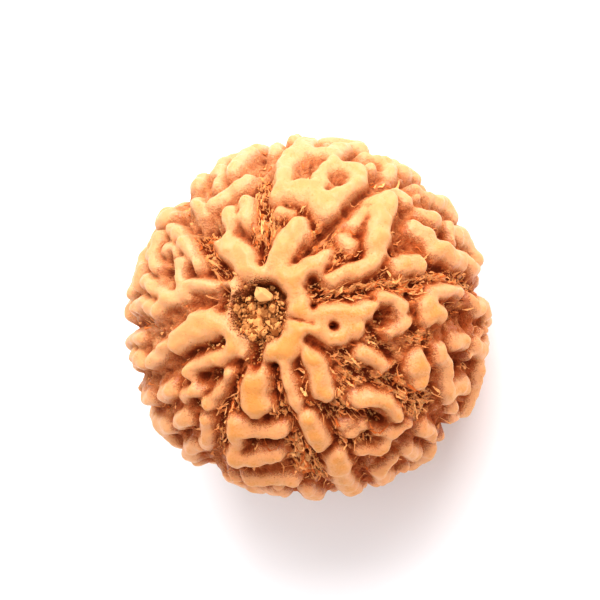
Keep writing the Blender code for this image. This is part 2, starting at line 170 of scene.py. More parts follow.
# Each ridge is its corners, its half width and its share of the full height
FACE_1 = [
    ([(13, 12), (20, 16), (26, 19), (31, 20)], 4.0, 1.0),
    ([(36.5, 6), (37, 11)], 1.8, 0.5),
    ([(44, 3), (52, 2.5), (62, 2), (72, 3), (82, 1)], 3.4, 1.0),
    ([(44, 3), (45, 12), (45, 20), (42, 29)], 3.9, 1.0),
    ([(45, 19), (55, 18), (63, 18.5)], 3.0, 1.0),
    ([(45, 28), (52, 30), (60, 30.5), (63, 27)], 3.4, 0.95),
    ([(63, 19), (64, 27)], 3.1, 0.9),
    ([(68, 5), (68, 14), (78, 15)], 2.9, 1.0),
    ([(76, 24), (82, 29)], 2.9, 1.0),
    ([(56, 24), (56, 24.5)], 0.8, 0.35),
    ([(84, 356), (93, 357)], 2.3, 1.5),
]
FACE_2 = [
    ([(13, 35), (18, 42), (22, 48)], 3.9, 1.0),
    ([(25, 49), (30, 46)], 2.3, 0.95),
    ([(38, 50.5), (38, 46.5)], 2.3, 0.6),
    ([(46, 58), (50, 51), (55, 45), (60, 43)], 4.0, 1.15),
    ([(27, 64), (33, 65), (40, 64.5), (45, 60)], 2.7, 1.0),
    ([(44, 42), (50, 41), (56, 41)], 2.4, 0.3),
    ([(50, 68.5), (56, 70.5)], 3.2, 1.05),
    ([(62, 57), (66, 62)], 2.7, 1.0),
    ([(66, 66), (73, 69), (80, 71)], 3.5, 1.05),
    ([(69, 39), (69, 46)], 2.7, 1.0),
    ([(70, 53), (78, 56)], 2.9, 1.0),
    ([(80, 40), (84, 46), (91, 48)], 2.7, 1.0),
    ([(85, 59), (92, 62)], 2.8, 1.0),
]
FACE_3 = [
    ([(13, 88), (22, 90), (30, 90), (37, 89)], 3.2, 1.0),
    ([(15, 107), (22, 108), (27, 106.5)], 3.4, 0.9),
    ([(20, 98), (24, 98)], 2.4, 0.9),
    ([(28.5, 99.5), (33, 99)], 3.4, 0.85),
    ([(36, 112), (41, 113), (45, 114.5)], 2.5, 1.0),
    ([(41, 82), (45, 83), (48, 87), (49, 92), (47, 97), (43, 99)], 2.2, 0.95),
    ([(57, 92), (57.5, 86), (60, 82), (68, 81), (73, 82)], 2.8, 1.05),
    ([(57, 88), (63, 90)], 2.7, 0.95),
    ([(55.5, 108), (59.5, 114)], 3.5, 1.05),
    ([(64, 103), (69, 107), (72, 112), (78, 117)], 2.9, 1.0),
    ([(70, 99), (78, 99)], 2.6, 0.95),
    ([(86, 87), (93, 86), (100, 88)], 2.9, 1.0),
    ([(87, 99), (95, 101)], 2.8, 1.0),
    ([(97, 107), (101, 112), (104, 121)], 3.4, 1.05),
]
FACE_4 = [
    ([(13, 112), (14, 128), (14, 145)], 5.0, 1.0),
    ([(22, 131), (28, 136), (34, 143)], 3.5, 1.0),
    ([(14, 150), (20, 157), (28, 160.5), (34, 162)], 2.5, 0.95),
    ([(43.5, 134), (46.5, 130), (51, 128), (57, 129), (60, 130.5)], 2.7, 1.05),
    ([(59, 139), (64, 136), (66, 132)], 2.1, 0.9),
    ([(40, 160.5), (49, 160.5)], 3.7, 1.1),
    ([(52.5, 148), (52.5, 141)], 1.5, 0.6),
    ([(49, 146), (48.5, 148)], 1.5, 0.35),
    ([(61, 150), (65, 145), (65, 140)], 2.1, 0.9),
    ([(74, 130), (83, 131)], 3.0, 1.0),
    ([(77, 139), (88, 141)], 2.9, 1.0),
    ([(58, 158), (65, 161), (72, 162), (84, 164)], 3.5, 1.1),
    ([(76, 151), (84, 153)], 2.7, 1.0),
]
FACE_5 = [
    ([(22, 190), (28, 188), (31, 187)], 5.0, 1.1),
    ([(41.5, 173), (42, 180), (42, 190), (41, 199)], 3.0, 1.0),
    ([(42, 200), (50, 199), (58, 200)], 2.8, 1.0),
    ([(50.5, 180), (53.5, 189), (57, 198)], 2.9, 1.0),
    ([(64, 178), (64.5, 186), (67, 194), (71, 201)], 2.9, 1.0),
    ([(73, 176), (82, 176)], 2.8, 1.0),
    ([(78, 187), (82, 195), (86, 203)], 3.0, 1.0),
]
FACE_6 = [
    ([(13, 217), (22, 228), (28, 232), (35, 235)], 2.9, 1.0),
    ([(25, 211.5), (31, 213), (38, 215.5)], 2.5, 0.95),
    ([(37, 225), (43, 229)], 2.4, 0.95),
    ([(45, 214), (50, 212), (56, 212)], 2.7, 1.0),
    ([(50, 223), (55, 225)], 3.0, 1.0),
    ([(46, 236), (53, 237)], 2.8, 1.0),
    ([(62, 216), (68, 219), (75, 219)], 2.8, 1.0),
    ([(65, 229), (72, 233), (78, 235)], 3.1, 1.05),
    ([(62, 240), (70, 243)], 2.6, 1.0),
    ([(84, 218), (91, 222)], 2.8, 1.0),
]
FACE_7 = [
    ([(13, 262), (22, 260), (29, 257), (33, 254)], 5.0, 1.0),
    ([(40, 254), (45, 252), (51, 251)], 2.6, 1.0),
    ([(58, 254), (66, 257)], 2.8, 1.0),
    ([(56, 262), (63, 263), (70, 264)], 2.5, 1.0),
    ([(22, 248), (28, 250)], 2.4, 0.9),
]
FACE_8 = [
    ([(15, 304), (21, 298), (26, 293), (30, 290)], 2.4, 1.0),
    ([(31, 283), (38, 279), (44, 273), (50, 275), (58, 275)], 2.7, 1.0),
    ([(38, 280), (46, 283), (54, 285)], 2.4, 1.0),
    ([(34, 287), (35, 293), (38, 300)], 2.3, 0.9),
    ([(31, 305), (38, 308), (46, 309.5), (54, 308)], 2.5, 1.0),
    ([(43, 302), (50, 301)], 2.0, 0.8),
    ([(55, 294), (58, 302)], 2.6, 1.0),
    ([(62, 283), (68, 288)], 2.8, 1.0),
    ([(64, 309), (70, 308)], 3.0, 1.05),
]
FACE_9 = [
    ([(14, 345), (20, 339), (25, 333), (29, 328)], 4.2, 1.0),
    ([(33, 347.5), (41, 347)], 2.7, 1.0),
    ([(34, 335), (39, 337)], 2.8, 0.9),
    ([(46, 324), (53, 323)], 2.6, 1.0),
    ([(47, 331), (48.5, 340), (51, 347)], 2.6, 1.0),
    ([(60, 340), (67, 342), (76, 343)], 2.9, 1.0),
    ([(66, 324), (72, 325)], 3.1, 1.05),
    ([(76, 332), (84, 334)], 2.8, 1.0),
    ([(56, 333), (62, 332)], 2.3, 0.9),
]
FACES = [FACE_1, FACE_2, FACE_3, FACE_4, FACE_5, FACE_6, FACE_7, FACE_8, FACE_9]

# Each hollow is its corners, its radius and its depth below the floor or the top around it. A radius
# below 0 makes a notch that doesn't reach the floor.
HOLLOWS = [
    ([(56, 9), (59, 9.5)], 2.2, 0.10),
    ([(55.5, 24)], 2.2, 0.12),
    ([(49.5, 63)], 1.6, 0.30),
    ([(25.5, 100.5)], 1.2, 0.45),
    ([(11, 100), (18, 102)], -0.35, 0.0),
    ([(41, 92), (41, 94)], 2.5, 0.35),
    ([(70, 87), (82, 92)], 3.0, 0.40),
    ([(75, 104.5), (82, 107)], 2.4, 0.35),
    ([(38, 99), (43, 105), (47, 109)], 1.7, 0.30),
    ([(54, 137), (58, 136)], 1.9, 0.40),
    ([(68, 138), (70, 135)], 2.1, 0.45),
    ([(69, 153.5)], 2.2, 0.35),
    ([(44, 171), (46.5, 177), (47, 185), (48, 192)], 1.1, 0.40),
    ([(65, 204), (73, 195)], 1.6, 0.30),
    ([(28.5, 221), (33, 226)], 2.3, 0.35),
    ([(72, 244)], 2.2, 0.30),
    ([(43, 222)], 1.7, 0.30),
    ([(44, 291)], 2.6, 0.40),
    ([(46, 298)], 1.6, 0.25),
    ([(33, 298)], 2.0, 0.30),
    ([(44, 316)], 1.4, 0.25),
    ([(34, 327), (40, 322)], 1.8, 0.35),
    ([(10, 190), (18, 192)], 2.3, 0.45),
    ([(16, 281), (16, 297)], 2.0, 0.40),
    ([(21, 58), (21, 72)], 1.9, 0.40),
    ([(62, 330)], 2.0, 0.30),
    ([(9.0, 318), (10.0, 350), (10.0, 20), (9.5, 52)], 1.1, 0.50),
]

# Broad swells of the whole body: middle, radius and height
BODY_SWELLS = [
    ((82, 236), 24.0, 0.38),
    ((88, 272), 20.0, 0.22),
    ((88, 2), 22.0, 0.12),
    ((86, 66), 22.0, -0.18),
    ((88, 320), 16.0, -0.10),
]

# Fine surface. Each relief is its depth in millimetres and its grain across the unit ball. Where it has
# sharp crests, their height and how fast they fall away follow. Each span lies in the ridge field.
CUBE_CUTS = 127
FIBRES = (0.13, 30.0, 0.55, 2.0)
WRINKLES = (0.26, 13.0, 0.5, 2.2)
CRACKS = (0.16, 21.0, 0.35, 2.0)
GRIT = (0.12, 46.0)
LUMPS = (0.18, 20.0)
FACETS = (0.06, 27.0)
CREST_HEIGHT = 0.12
FLOOR_SPAN = (0.2, -0.8)
CRACK_SPAN = (1.4, 0.1)
CREST_SPAN = (0.4, 2.4)
FIBRE_STRETCH = 0.20
FIBRE_CIRCLE = 0.75
LEVELLING_ROUNDS = 16

# Pulp, painted shade and dust, as shares. The painted shade lies on the side of the upper half that is
# turned from the key light, and in patches below.
PULP_EVERYWHERE = 0.25
PULP_MOST = 1.7
SHADE_MIDDLE = (60, 140)
SHADE_SPAN = (-0.25, 0.75)
SHADE_LEAST = 0.34
LOW_SHADE_SPAN = (0.1, -0.5)
LOW_SHADE = 0.6
LOW_SHADE_WAVE = 0.8
LOW_SHADE_GRAIN = 3.0
DUST_SPAN = (13.5, 7.2)
HOLLOW_DUST = 0.25
HOLLOW_DUST_RIM = 0.8
HOLLOW_DUST_CORE = 0.3
DEEP_HOLLOW = 0.4

# Mottling, which is about 0.5: scale and detail. The streaks are read in strung out coordinates.
BROAD = (330, 2)
PATCH = (1300, 3)
GRAIN = (7000, 4)
SPECK = (16000, 2)
STREAK = (60, 4)
SHRED = (6000, 3)

# How much each kind of mottling frays something, in the order in which it is added
EDGE_FRAY = (1.4, 2.0)
SUNK_FRAY = (0.10, 0.25)
AMBER_FRAY = (0.4,)
PULP_FRAY = (0.8,)
DUST_FRAY = (2.0, 1.2)
THREAD_FRAY = (1.8, 1.2)
ROUGHNESS_FRAY = (0.16,)
TONE_FRAY = (0.8,)

# Bands on the skin, each from its start to where it is full: by degrees inside a knob's outline
# The knob tops are painted lighter than the flanks across this band: a painted highlight that rounds them,
# over their own paler dry tops.
CROWN_HIGHLIGHT_BAND = (-0.8, 1.9)
AMBER_BAND = (1.0, 2.3)
FOOT_BAND = (-1.0, 0.8)
STIPPLE_BAND = (0.1, 1.2)
FIBROUS_BAND = (-1.1, 0.3)
RIM_START = (-1.7, -0.5)
RIM_END = (-0.3, 0.6)
SMOOTH_BAND = (0.5, 2.2)
# by millimetres below the surroundings, by which shade is painted into the crevices and the deep floor
CREST_DEPTHS = (-0.08, 0.04)
CREVICE_DEPTHS = (0.04, 0.22)
DEEP_DEPTHS = (0.16, 0.38)
# by painted shade, which is most on the side turned from the key light
TOP_SHADE = (0.6, 1.0)
FLANK_SHADE = (0.2, 0.8)
AMBER_SHADE = (0.75, 1.0)
# and by mottling
FILM_PATCHES = (0.42, 0.60)
AMBER_PATCHES = (0.34, 0.50)
FOOT_PATCHES = (0.25, 0.50)
RIM_PATCHES = (0.30, 0.52)
STIPPLE_DOTS = (0.51, 0.58)
PULP_PATCHES = (0.20, 0.70)
THREADS = (1.30, 1.95)
SOILED_PATCHES = (0.35, 0.85)

# Shares of the coats of colour. Where there are two, they are the least and the most.
TOP_SHADE_SHARE = 0.35
FLANK_SHARES = (0.45, 1.0)
AMBER_SHARES = (0.45, 0.85)
AMBER_BY_SHADE = 0.2
AMBER_SHADE_MIDDLE = 0.6
FOOT_SHARES = (0.07, 0.70)
CREVICE_SHARES = (0.15, 0.85)
STIPPLE_SHARES = (0.07, 0.63)
RIM_SHARE = 0.7
DEEP_SHARES = (0.2, 1.0)

# Weights in the threads of pulp and in the shading's relief, then gloss and glow
THREAD_STREAK = 2.2
THREAD_SINK = 4.0
MATTED = 0.9
ROUGH = 0.9
FINE_GRAIN = 0.15
FINE_SPECK = 0.2
SKIN_BUMP = 0.00030
SKIN_ROUGHNESS = 0.68
CREST_POLISH = 0.20
DRY_GLOSS = 0.08
WAX = 0.5
WAX_ROUGHNESS = 0.34
GLOW_RADIUS = (1.0, 0.55, 0.30)
SHRED_BUMP = 0.00004
SHRED_ROUGHNESS = 0.78
SHRED_WAVE = 0.2

# Fibres: they run mostly along the furrows, and start and stay low in the ridge field
FIBRE_STEPS = 5
FIBRE_STRAY = 22.0
FIBRE_BEND = 12.0
FIBRE_LENGTHS = (0.5, 1.7)
FIBRE_WIDTHS = (0.5, 1.6)
FIBRE_LIFT = 0.03
LIFT_SHARES = (0.2, 1.0)
STRAND_SHARE = 0.12
STRAND_LENGTH = 2.8
RIBBON_LEAN = 0.5
RIBBON_TEARS = (0.2, 1.4)
RIBBON_TAPER = 0.35
RIBBON_SPAN = 0.5
RIBBON_THICKNESS = 0.3
FIBRE_FLOOR = -0.35
FIBRE_CLIMB = 0.7
POLE_CLEARANCE = 5.0

# Crumbs and the pale chip
CRUMB_SPREAD = 0.5
CRUMB_SIZES = (0.35, 1.0)
CRUMB_STRETCHES = (0.45, 1.3)
CRUMB_JOLT = 0.3
CRUMB_CLIMB = 0.3
CRUMB_LIFT = 0.5
CHIP_MIDDLE = (6.2, 358)
CHIP_LIFT = 0.50
CHIP_TURN = -12.0
CHIP_TILT = 24.0
CHIP_SHARES = (1.0, 0.72, 0.5)
CHIP_BEVEL = 0.11
CHIP_BEVEL_STEPS = 3
CHIP_TONE = 0.8
# Each cut is a point on it and the way it faces, on a cube with sides of 1
CHIP_CUTS = [
    ((0.30, 0.22, 0.0), (0.8, 0.9, 0.1)),
    ((-0.36, 0.2, 0.1), (-1.0, 0.6, 0.5)),
    ((0.2, -0.34, 0.0), (0.5, -1.0, 0.25)),
    ((0.0, 0.05, 0.36), (0.15, -0.2, 1.0)),
    ((-0.3, -0.3, 0.0), (-1.0, -0.7, 0.1)),
]

# Stage, in metres. The directions lead from the stone's middle.
FLOOR_SIZE = 3.0
FLOOR_ROUGHNESS = 0.9
KEY_DIRECTION = (0.10, 0.72, 0.84)
KEY_DISTANCE = 0.45
KEY_SIZE = 0.38
CAMERA_DIRECTION = (0.29237, -0.043, 0.95630)
CAMERA_SHIFT = (-8 / 600, 17 / 600)
NEAREST_SEEN = 0.01
VIEW_GAMMA = 0.85

# Where the dried pulp is thick: a path, how far it spreads in degrees, and its share of the fibres
PULP = [
    ([(19, 80), (40, 78), (66, 78), (84, 79)], 5.0, 1.5),
    ([(22, 100), (33, 103), (44, 109)], 4.0, 0.7),
    ([(34, 110), (42, 124), (52, 121), (66, 124)], 5.0, 1.2),
    ([(40, 143), (50, 146), (58, 152)], 6.0, 1.3),
    ([(22, 146), (30, 152), (38, 153)], 3.0, 0.9),
    ([(20, 172), (30, 172), (38, 171), (52, 169), (64, 171)], 4.0, 1.3),
    ([(24, 203), (33, 201), (40, 206), (56, 208)], 3.5, 0.9),
    ([(35, 3), (37, 12), (35, 24)], 4.0, 1.0),
    ([(22, 357), (34, 355), (48, 357)], 3.5, 0.9),
    ([(20, 62), (28, 54), (36, 50), (40, 58)], 5.0, 1.5),
    ([(20, 314), (28, 315), (36, 318)], 3.5, 0.9),
    ([(54, 88), (56, 100), (58, 120)], 4.0, 0.8),
]

# Crumbs: middle, reach in degrees, how many and their usual size in millimetres
CRUMB_NESTS = [
    ((3.0, 240), 8.5, 120, 0.62),
    ((3.5, 235), 10.5, 700, 0.30),
    ((9, 215), 4.0, 70, 0.42),
    ((12, 262), 3.6, 50, 0.36),
    ((11, 190), 2.2, 14, 0.24),
    ((16, 192), 2.4, 18, 0.26),
    ((15, 282), 2.0, 10, 0.30),
    ((15.5, 296), 2.2, 12, 0.30),
    ((20, 66), 4.0, 26, 0.20),
    ((24, 242), 3.4, 26, 0.22),
    ((42, 93), 2.6, 16, 0.22),
    ((40, 103), 3.2, 16, 0.20),
    ((55, 137), 3.0, 16, 0.22),
    ((48, 190), 2.2, 10, 0.24),
    ((30, 223), 2.6, 12, 0.20),
    ((36, 10), 4.0, 16, 0.18),
    ((43, 291), 2.4, 8, 0.24),
    ((43, 222), 1.8, 8, 0.20),
    ((56, 96), 5.0, 20, 0.18),
    ((72, 90), 4.0, 16, 0.22),
    ((180, 0), 7.4, 200, 0.55),
]


def direction(fall, bearing):
    """Unit vector from the stone's centre to a place on it."""
    down, turn = math.radians(fall), math.radians(bearing)
    return np.array([math.sin(down) * math.sin(turn), math.sin(down) * math.cos(turn), math.cos(down)])


def degrees_from(points, path):
    """Degrees from each unit vector in points to the nearest spot on a path."""
    corners = [direction(*corner) for corner in path]
    nearest = np.full(len(points), np.inf)
    for start, end in zip(corners, corners[1:] or corners):
        run = end - start
        share = np.clip((points - start) @ run / max(run @ run, 1e-12), 0.0, 1.0)
        offset = points - start - share[:, None] * run
        nearest = np.minimum(nearest, np.linalg.norm(offset, axis=1))
    return np.degrees(nearest)


def finish_furrow(path, draw):
    """Carry a furrow on from its last corner, with a slight wobble, to the lower pole."""
    fall, bearing = path[-1]
    whole = list(path)
    while fall < FURROW_END:
        fall += FURROW_STRIDE
        bearing += draw.uniform(-FURROW_WOBBLE, FURROW_WOBBLE)
        whole.append((fall, bearing))
    return whole


def lower_petals(furrows, draw):
    """The ridges that spread from the lower collar: one stem on every face, forked on some."""
    petals = []
    ends = sorted(path[-1][1] % 360 for path in furrows)
    for place, (left, right) in enumerate(zip(ends, ends[1:] + [ends[0] + 360])):
        middle = (left + right) / 2 + draw.uniform(-PETAL_SHIFT, PETAL_SHIFT)
        length = draw.uniform(*PETAL_LENGTHS)
        lean = draw.uniform(-PETAL_LEAN, PETAL_LEAN)
        width = draw.uniform(*PETAL_HALF_WIDTHS)
        neck = (PETAL_FALL - length / 2, middle + NECK_LEAN * lean)
        stem = [(PETAL_FALL, middle), neck, (PETAL_FALL - length, middle + lean)]
        petals.append((stem, width, draw.uniform(*PETAL_SHARES)))
        if place not in UNFORKED:
            fork = [neck, (neck[0] - FORK_LENGTH, middle - FORK_LEAN * lean)]
            petals.append((fork, FORK_SHARE * width, COLLAR_SHARE))
    return petals


def spread_points(path):
    """Points along a path, close together, as unit vectors. The path's last corner is the last of them."""
    corners = [direction(*corner) for corner in path]
    points = [corners[0]]
    for start, end in zip(corners, corners[1:]):
        count = math.ceil(math.degrees(np.linalg.norm(end - start)) / SPACING)
        points += [start + (end - start) * (place + 1) / count for place in range(count)]
    return np.array(points)


def wander(draw, start, steps):
    """A path of some steps across the surface that mostly runs along the faces."""
    fall, bearing = start
    heading = draw.choice((0, 180)) + draw.gauss(0, TURN_ASIDE)
    path = [start]
    for _ in range(steps):
        stride = STEP * draw.uniform(*STEP_SHARES)
        fall += stride * math.cos(math.radians(heading))
        around = max(math.sin(math.radians(fall)), LEAST_AROUND)
        bearing += stride * math.sin(math.radians(heading)) / around
        heading += draw.uniform(-WANDER, WANDER)
        path.append((fall, bearing))
    return path


def any_place(draw):
    """A place in the belt that is left to chance."""
    highest, lowest = math.cos(math.radians(FIRST_FALL)), math.cos(math.radians(LAST_FALL))
    return math.degrees(math.acos(draw.uniform(lowest, highest))), draw.uniform(0, 360)


def gather(paths, widths):
    """Points along all the paths, with the number and the half width of the path of each."""
    spread = [spread_points(path) for path in paths]
    counts = [len(points) for points in spread]
    return np.concatenate(spread), np.repeat(np.arange(len(paths)), counts), np.repeat(widths, counts)


def gaps_between(points, others):
    """Degrees from each of the points to each of the others."""
    return np.degrees(np.linalg.norm(points[:, None, :] - others[None, :, :], axis=2))


def grow_ridges(ridges, furrows, draw):
    """Fill what is still bare, long ridges first and dots last. A branch starts on a ridge that is there."""
    grown = list(ridges)
    spots, owner, reach = gather([path for path, _, _ in ridges], [width for _, width, _ in ridges])
    furrow_spots, _, _ = gather(furrows, [0] * len(furrows))
    known = direction(*KNOWN_MIDDLE)
    for steps, half_width, tries, branching in GROWTH:
        for _ in range(tries):
            parent = draw.randrange(len(grown)) if draw.random() < branching else None
            start = any_place(draw) if parent is None else draw.choice(grown[parent][0])
            path = wander(draw, start, steps)
            width = half_width * draw.uniform(*WIDTH_SHARES)
            height = draw.uniform(*HEIGHT_SHARES)
            new = path if parent is None else path[1:]
            if not all(FIRST_FALL < fall < LAST_FALL for fall, _ in new):
                continue
            points = spread_points(new)
            if (points @ known).max() > math.cos(math.radians(KNOWN_REACH)):
                continue
            gaps = gaps_between(points, spots) - reach
            others = owner != (-1 if parent is None else parent)
            if gaps[:, others].min() < width + RIDGE_GAP or gaps[-1].min() < width:
                continue
            if gaps_between(points, furrow_spots).min() < width + FURROW_HALF_WIDTH:
                continue
            spots = np.concatenate([spots, points])
            owner = np.concatenate([owner, np.full(len(points), len(grown))])
            reach = np.concatenate([reach, np.full(len(points), width)])
            grown.append((path, width, height))
    return grown


def ring(fall):
    """A closed path round the axis at one fall."""
    return [(fall, bearing) for bearing in range(0, 361, RING_STEP)]


def lay_out():
    """All furrows and all ridges of the stone."""
    draw = random.Random(SEED)
    furrows = [finish_furrow(path, draw) for path in FURROWS]
    ridges = [ridge for face in FACES for ridge in face]
    ridges.append((ring(COLLAR_FALL), COLLAR_HALF_WIDTH, COLLAR_SHARE))
    ridges.append((ring(LOWER_COLLAR_FALL), LOWER_COLLAR_HALF_WIDTH, COLLAR_SHARE))
    ridges += lower_petals(furrows, draw)
    return furrows, grow_ridges(ridges, furrows, draw)


def uneven(points, grain):
    """Smooth noise, one value for each point."""
    return np.array([noise.noise(Vector(point) * grain) for point in points])


def warped(points):
    """The points moved a little sideways, so that no outline is a plain arc."""
    moved = [uneven(points + shift, WARP_GRAIN) for shift in WARP_SHIFTS]
    return points + WARP * np.stack(moved, axis=1)


def near_to(points, path, reach):
    """Which of the points lie within reach degrees of the cap that holds the whole path."""
    corners = np.array([direction(*corner) for corner in path])
    middle = corners.mean(axis=0)
    middle /= max(np.linalg.norm(middle), 1e-9)
    span = math.degrees(math.acos(max(-1.0, min(1.0, (corners @ middle).min())))) + reach
    return points @ middle >= (math.cos(math.radians(span)) if span < 180 else -2.0)


def ridge_field(points, ridges):
    """How far each point lies inside the ridges' outline, in degrees, and the height there."""
    weight = np.full(len(points), math.exp(BLEND_SHARPNESS * BARE_FLOOR))
    height = weight.copy()
    for path, half_width, share in ridges:
        reach = FULLNESS * half_width
        near = near_to(points, path, reach - FIELD_REACH * BARE_FLOOR)
        away = degrees_from(points[near], path) / reach
        bowed = (1 - np.minimum(away, 1) ** CROWN_FLATNESS) / CROWN_FLATNESS
        inside = reach * np.where(away < 1, bowed, 1 - away)
        pull = np.exp(BLEND_SHARPNESS * inside)
        weight[near] += pull
        height[near] += pull * share
    return np.log(weight) / BLEND_SHARPNESS, height / weight


def carve(inside, edge):
    """The field cut by something whose edge lies that many degrees away, with a rounded lip."""
    return -np.log(np.exp(-BLEND_SHARPNESS * inside) + np.exp(-BLEND_SHARPNESS * edge)) / BLEND_SHARPNESS


def relief(points, furrows, ridges):
    """Height above the knobs' outline level, in millimetres, and the ridge field, for each unit vector."""
    bent = warped(points)
    inside, share = ridge_field(bent, ridges)
    inside = inside + OUTLINE_WAVE * uneven(points, OUTLINE_GRAIN)
    sunk = np.zeros(len(points))
    for path in furrows:
        away = degrees_from(bent, path)
        inside = carve(inside, away - FURROW_HALF_WIDTH)
        sunk += FURROW_DEPTH * np.exp(-(away / FURROW_HALF_WIDTH) ** 2)
    for path, radius, depth in HOLLOWS:
        away = degrees_from(bent, path)
        inside = carve(inside, away - radius)
        if depth:
            sunk += depth * np.exp(-(away / radius) ** HOLLOW_FLATNESS)
    rim = POLE_PIT_WAVE * uneven(points, POLE_PIT_GRAIN)
    for pole in POLE_PITS:
        away = degrees_from(bent, [pole]) + rim
        inside = carve(inside, POLE_PIT_SLOPE * (away - POLE_PIT_RADIUS))
        sunk += POLE_PIT_DEPTH * np.exp(-(away / POLE_PIT_RADIUS) ** HOLLOW_FLATNESS)
    crown = CROWN_HEIGHT * share * (1 - np.exp(-np.maximum(inside, 0) / CROWN_ROUNDING))
    floor = FLOOR_DEPTH * (1 - np.exp(np.minimum(inside, 0) / FOOT_ROUNDING))
    wave = CROWN_WAVE * uneven(points, CROWN_GRAIN)
    return crown - floor - sunk + wave, inside


def body_radius(points):
    """Radius of the smooth body at the knobs' outline level, in millimetres, for each unit vector."""
    across, along = CROWN_RADIUS - CROWN_HEIGHT, CROWN_TO_POLE - CROWN_HEIGHT
    level = np.hypot(points[:, 0], points[:, 1])
    sides, ends = level / across, abs(points[:, 2]) / along
    radius = (sides ** BODY_POWER + ends ** BODY_POWER) ** (-1 / BODY_POWER)
    for middle, reach, height in BODY_SWELLS:
        away = degrees_from(points, [middle])
        radius += height * np.exp(-(away / reach) ** 2)
    return radius + SWELL * uneven(points, SWELL_GRAIN)


FURROW_PATHS, RIDGES = lay_out()


def smooth(low, high, value):
    """0 at low, 1 at high and an even rise between them."""
    share = np.clip((value - low) / (high - low), 0.0, 1.0)
    return share * share * (3 - 2 * share)


def pulp_share(points):
    """How thick the dried pulp lies, for each unit vector."""
    share = np.full(len(points), PULP_EVERYWHERE)
    for path, spread, weight in PULP:
        share += weight * np.exp(-(degrees_from(points, path) / spread) ** 2)
    return np.minimum(share, PULP_MOST)


def stain_share(points):
    """How much shade is painted on, for each unit vector: most on the side of the upper half turned from the
    key light, and in patches on the lower half.
    """
    sided = smooth(*SHADE_SPAN, points @ direction(*SHADE_MIDDLE))
    patches = LOW_SHADE + LOW_SHADE_WAVE * uneven(points, LOW_SHADE_GRAIN)
    below = smooth(*LOW_SHADE_SPAN, points[:, 2]) * patches
    return SHADE_LEAST + (1 - SHADE_LEAST) * np.clip(np.maximum(sided, below), 0, 1)


def dust_share(points):
    """How dark the dust lies, for each unit vector: most in the pole pits and the hollows."""
    share = np.zeros(len(points))
    for pole in POLE_PITS:
        share += smooth(*DUST_SPAN, degrees_from(points, [pole]))
    for path, radius, depth in HOLLOWS:
        away = degrees_from(points, path)
        within = smooth(radius + HOLLOW_DUST_RIM, HOLLOW_DUST_CORE * radius, away)
        share += HOLLOW_DUST * within * min(1.0, depth / DEEP_HOLLOW)
    return np.minimum(share, 1.0)


def strung_out(points):
    """Coordinates across the ball in which noise comes out long from pole to pole."""
    fall = np.arccos(np.clip(points[:, 2], -1, 1))
    level = np.maximum(np.hypot(points[:, 0], points[:, 1]), 1e-6)
    around = FIBRE_CIRCLE * points[:, :2] / level[:, None]
    return np.column_stack([around, FIBRE_STRETCH * fall])


def plain(points, depth, grain):
    """A smooth relief, in millimetres, about 0 for each point."""
    return depth * uneven(points, grain)


def creased(points, depth, grain, top, fall):
    """A relief with sharp crests, in millimetres, about 0 for each point."""
    return depth * (top - fall * np.abs(uneven(points, grain)))


def surface(points):
    """Radius in millimetres and ridge field in degrees, for each unit vector."""
    height, inside = relief(points, FURROW_PATHS, RIDGES)
    strung = strung_out(points)
    pulp = creased(strung, *FIBRES) + plain(points, *GRIT) + plain(points, *LUMPS)
    matted = pulp * pulp_share(points) + creased(strung, *WRINKLES)
    floor = smooth(*FLOOR_SPAN, inside)
    cracks = creased(points, *CRACKS) * smooth(*CRACK_SPAN, inside)
    crests = CREST_HEIGHT * smooth(*CREST_SPAN, inside)
    fine = floor * matted + (1 - floor) * plain(points, *FACETS) + cracks + crests
    return body_radius(points) + height + fine, inside


def unit(vectors):
    """The vectors with a length of 1."""
    return vectors / np.maximum(np.linalg.norm(vectors, axis=1), 1e-6)[:, None]


def placed(points, radius):
    """Places in the frame, in metres, for unit vectors and radii in millimetres."""
    places = points * np.asarray(radius)[:, None] + np.array([*CENTRE_SHIFT, REST_HEIGHT])
    places[:, 2] = np.maximum(places[:, 2], 0.0)
    return places * MILLIMETRE


def linked(name, data):
    """An object with that mesh, light or camera, in the scene."""
    thing = bpy.data.objects.new(name, data)
    bpy.context.scene.collection.objects.link(thing)
    return thing


def modelled(shape, name, material):
    """A bmesh made an object, in the scene."""
    mesh = bpy.data.meshes.new(name)
    shape.to_mesh(mesh)
    shape.free()
    mesh.materials.append(material)
    return linked(name, mesh)


def finished(shape, name, material):
    """A bmesh made a piece of the stone: it rides on the one body."""
    piece = modelled(shape, name, material)
    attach(piece, BODY)
    return piece


def hollowness(mesh, radius):
    """How far each point of a mesh lies below its surroundings, in millimetres. It is negative on crests."""
    ends = np.empty(2 * len(mesh.edges), dtype=np.int32)
    mesh.edges.foreach_get("vertices", ends)
    one, other = ends.reshape(-1, 2).T
    here, there = np.concatenate([one, other]), np.concatenate([other, one])
    level = radius
    for _ in range(LEVELLING_ROUNDS):
        level = np.bincount(here, level[there]) / np.bincount(here)
    return level - radius


def keep_values(piece, **named):
    """Store numbers or vectors for the points of a piece, for its material to read."""
    for name, values in named.items():
        vector = values.ndim == 2
        layer = piece.data.attributes.new(name, "FLOAT_VECTOR" if vector else "FLOAT", "POINT")
        layer.data.foreach_set("vector" if vector else "value", values.astype(np.float32).ravel())


